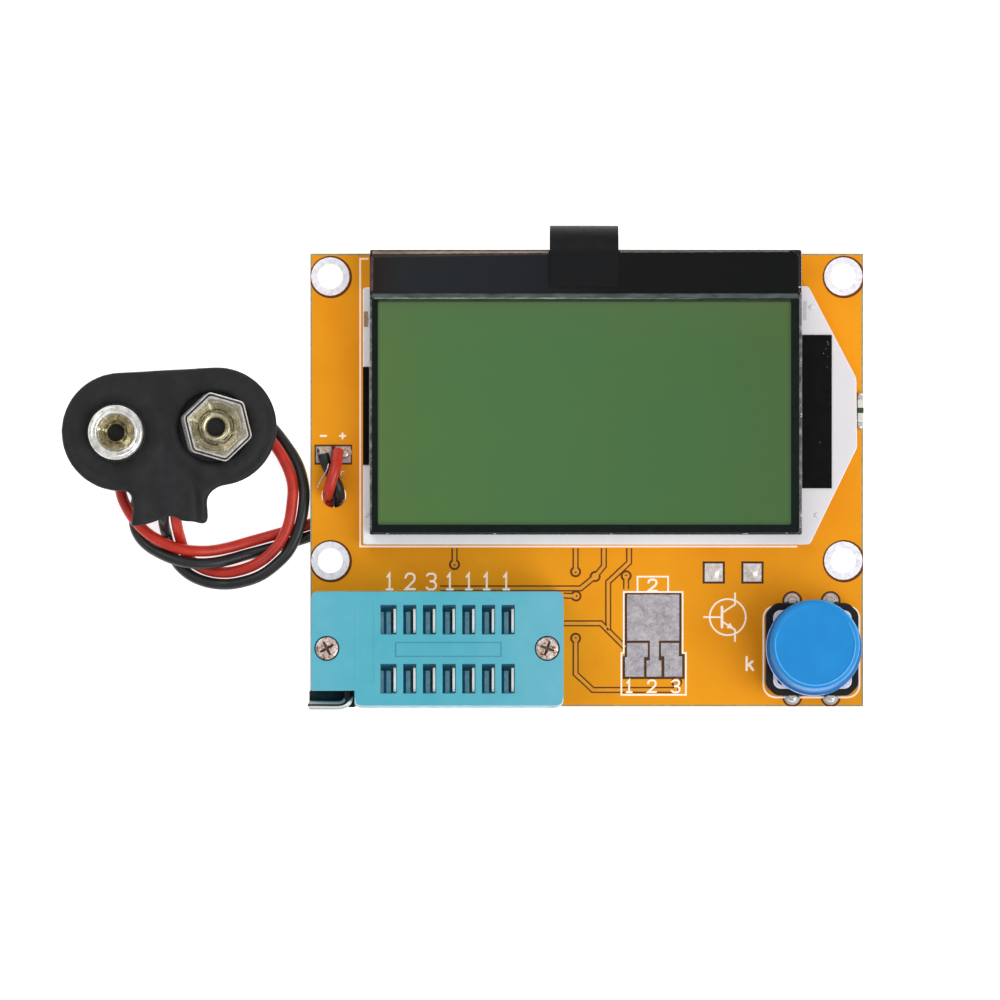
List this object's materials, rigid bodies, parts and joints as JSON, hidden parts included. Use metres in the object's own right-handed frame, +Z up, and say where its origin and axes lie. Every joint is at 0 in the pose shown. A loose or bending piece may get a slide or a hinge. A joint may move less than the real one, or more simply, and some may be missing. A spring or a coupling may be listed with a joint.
{
  "type": "component tester",
  "caption": "Bare-board electronic component tester: graphic display, lever test socket, surface test pads, push button and battery snap with two leads.",
  "frame": {"origin": "centre of the footprint (board, flex tail and battery snap) at bench level", "axes": "+X to the right along the board's long side, away from the battery snap; +Y towards the display's flex tail; +Z up, out of the display"},
  "size_m": [0.1042, 0.0628, 0.0148],
  "materials": {
    "solder_mask": "orange solder mask over glass epoxy, satin gloss",
    "tinned_copper": "hot-air tinned copper, mottled grey",
    "socket_nylon": "moulded cyan-blue nylon, low sheen",
    "contact_strip": "bright plated spring strip",
    "bright_steel": "polished plated steel",
    "nickel_plate": "nickel plate over brass, slightly yellow inside",
    "white_light_guide": "milky white acrylic light guide",
    "display_glass": "display glass",
    "green_polarizer": "olive green transflective film under a clear top coat",
    "black_bar": "gloss black film over the glass ledge",
    "black_flex": "black polyimide flex",
    "black_tape": "black adhesive tape",
    "led_body": "cream LED body with soldered ends",
    "black_plastic": "black moulded plastic",
    "blue_button": "blue moulded plastic, satin",
    "chip_epoxy": "black moulding compound",
    "yellow_epoxy": "yellow moulding compound",
    "leathercloth": "black PVC leathercloth, fine grain",
    "fibre_board": "brown vulcanised fibre",
    "red_insulation": "red PVC insulation",
    "black_insulation": "black PVC insulation"
  },
  "bodies": {
    "root": {"backlight_led": "led_body", "black_wire": "black_insulation", "circuit_board": "solder_mask", "crystal": "bright_steel", "latch_transistor": "chip_epoxy", "lcd_bar_cover": "black_bar", "lcd_driver_chip": "chip_epoxy", "lcd_flex_tail": "black_flex", "lcd_front_glass": "display_glass", "lcd_front_polarizer": "green_polarizer", "lcd_light_guide": "white_light_guide", "lcd_rear_glass": "display_glass", "lcd_tape_left": "black_tape", "lcd_tape_right": "black_tape", "microcontroller": "chip_epoxy", "mounting_hole_plating_front_left": "tinned_copper", "mounting_hole_plating_front_right": "tinned_copper", "mounting_hole_plating_rear_left": "tinned_copper", "mounting_hole_plating_rear_right": "tinned_copper", "power_transistor": "chip_epoxy", "probe_resistor_high": "chip_epoxy", "probe_resistor_low": "chip_epoxy", "red_wire": "red_insulation", "smd_test_pad_1": "tinned_copper", "smd_test_pad_2": "tinned_copper", "smd_test_pad_3": "tinned_copper", "switch_base": "black_plastic", "switch_cover_plate": "bright_steel", "switch_dome": "bright_steel", "switch_terminal_left": "tinned_copper", "switch_terminal_right": "tinned_copper", "tantalum_capacitor": "yellow_epoxy", "voltage_reference": "chip_epoxy", "voltage_regulator": "chip_epoxy", "zif_base": "socket_nylon", "zif_contact_front_1": "contact_strip", "zif_contact_front_2": "contact_strip", "zif_contact_front_3": "contact_strip", "zif_contact_front_4": "contact_strip", "zif_contact_front_5": "contact_strip", "zif_contact_front_6": "contact_strip", "zif_contact_front_7": "contact_strip", "zif_contact_rear_1": "contact_strip", "zif_contact_rear_2": "contact_strip", "zif_contact_rear_3": "contact_strip", "zif_contact_rear_4": "contact_strip", "zif_contact_rear_5": "contact_strip", "zif_contact_rear_6": "contact_strip", "zif_contact_rear_7": "contact_strip"},
    "lever": {"zif_lever": "bright_steel"},
    "cover": {"zif_cover": "socket_nylon", "zif_cover_screw_left": "bright_steel", "zif_cover_screw_right": "bright_steel"},
    "button": {"switch_plunger": "black_plastic", "button_cap": "blue_button"},
    "snap": {"snap_back": "leathercloth", "snap_board": "fibre_board", "snap_cover": "leathercloth", "snap_stud": "nickel_plate", "snap_socket": "nickel_plate"}
  },
  "joints": [
    {"name": "lever_pivot", "type": "hinge", "parent": "root", "child": "lever", "pos_m": [-0.01476, -0.02665, 0.0102], "axis": [0, 1, 0], "range_deg": [0, 90]},
    {"name": "cover_slide", "type": "slide", "parent": "root", "child": "cover", "axis": [1, 0, 0], "range_m": [0, 0.0008]},
    {"name": "button_press", "type": "slide", "parent": "root", "child": "button", "axis": [0, 0, -1], "range_m": [0, 0.00035], "stiffness_N_per_m": 600, "deforming": ["switch_dome"]},
    {"name": "snap_swing", "type": "hinge", "parent": "root", "child": "snap", "pos_m": [-0.01681, -0.00365, 0.002], "axis": [0, 0, 1], "range_deg": [-12, 12], "deforming": ["red_wire", "black_wire"]}
  ],
  "couplings": [
    {"joint": "lever_pivot", "follows": "cover_slide", "rad_per_m": 1963.5}
  ]
}
